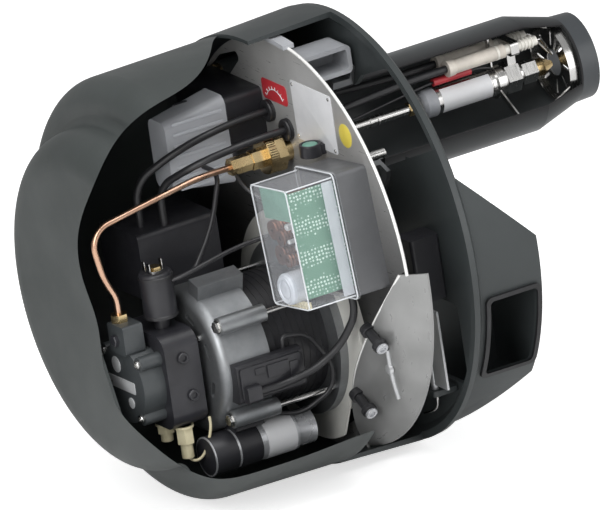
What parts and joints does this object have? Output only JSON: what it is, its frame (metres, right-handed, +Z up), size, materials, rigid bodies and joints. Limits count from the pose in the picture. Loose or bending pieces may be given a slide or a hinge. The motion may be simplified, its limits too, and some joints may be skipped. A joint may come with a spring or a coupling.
{
  "type": "oil burner",
  "caption": "Cutaway forced-draught oil burner: round housing, blast tube with nozzle and electrodes, fan, motor, fuel pump and control box.",
  "frame": {"origin": "on the blast tube's axis, in the plane of the casing's front face", "axes": "+X along the blast tube towards the flame, +Z up, -Y towards the side that is cut open"},
  "size_m": [0.509, 0.3977, 0.398],
  "materials": {
    "cover_plastic": "satin",
    "casing_plastic": "satin",
    "black_plastic": "satin",
    "grille_plastic": "matte",
    "hood_plastic": "satin",
    "clear_plastic": "clear",
    "plug_plastic": "satin",
    "button_plastic": "gloss",
    "cream_plastic": "satin",
    "board_green": "satin",
    "relay_plastic": "satin",
    "tube_steel": "satin",
    "ring_steel": "satin",
    "plate_alu": "brushed",
    "cast_alu": "as cast",
    "bright_steel": "bright",
    "fan_steel": "zinc plated",
    "stator_black": "satin",
    "pump_black": "satin",
    "brass": "turned",
    "copper": "drawn",
    "rubber": "matte",
    "ceramic_white": "glazed",
    "can_grey": "satin"
  },
  "bodies": {
    "burner": {"front_casing": "casing_plastic", "rear_cover": "cover_plastic", "air_intake_box": "casing_plastic", "intake_frame": "grille_plastic", "blast_tube": "tube_steel", "tube_end_ring": "ring_steel", "tube_collar": "cast_alu", "mounting_plate": "plate_alu", "air_shroud": "plate_alu", "shroud_studs": "rubber", "fan_scroll": "fan_steel", "scroll_plate": "plate_alu", "motor_shell": "cast_alu", "motor_stator": "stator_black", "motor_flange": "cast_alu", "motor_bolts": "bright_steel", "terminal_box": "black_plastic", "capacitor": "can_grey", "capacitor_bracket": "stator_black", "pump_body": "pump_black", "pump_cover": "pump_black", "solenoid_coil": "black_plastic", "pump_plugs": "cream_plastic", "line_union": "brass", "brass_nuts": "brass", "fuel_pipe": "copper", "nozzle_line": "bright_steel", "preheater": "bright_steel", "nozzle_holder": "brass", "nozzle": "brass", "diffuser": "bright_steel", "head_support": "bright_steel", "electrode_sleeves": "ceramic_white", "electrode_rods": "bright_steel", "electrode_clamp": "bright_steel", "lead_boots": "rubber", "grommets": "rubber", "transformer": "black_plastic", "far_ignition_lead": "rubber", "near_ignition_lead": "rubber", "control_base": "black_plastic", "control_cover": "clear_plastic", "circuit_board": "board_green", "board_components": "relay_plastic", "junction_box": "black_plastic", "plug_housing": "plug_plastic", "flame_detector": "black_plastic", "casing_hood": "hood_plastic", "guide_rods": "bright_steel", "plate_clip": "hood_plastic", "damper_actuator": "black_plastic", "motor_lead": "rubber", "capacitor_lead": "rubber", "coil_lead": "rubber"},
    "rotor": {"fan_wheel": "fan_steel", "motor_rotor": "fan_steel", "motor_shaft": "bright_steel"},
    "damper": {"air_damper": "fan_steel"},
    "button": {"reset_button": "button_plastic"},
    "screw": {"head_screw": "brass"}
  },
  "joints": [
    {"name": "rotor_spin", "type": "hinge", "parent": "burner", "child": "rotor", "pos_m": [-0.1, 0, -0.16], "axis": [1, 0, 0], "continuous": true},
    {"name": "damper_turn", "type": "hinge", "parent": "burner", "child": "damper", "pos_m": [-0.024, -0.125, -0.168], "axis": [0, 0, 1], "range_deg": [0, 75]},
    {"name": "reset_button_press", "type": "slide", "parent": "burner", "child": "button", "axis": [1, 0, 0], "range_m": [0, 0.0025], "stiffness_N_per_m": 400, "springref_m": -0.001},
    {"name": "head_screw_turn", "type": "hinge", "parent": "burner", "child": "screw", "pos_m": [-0.062, 0.12, 0.044], "axis": [1, 0, 0], "range_deg": [-180, 180]}
  ]
}
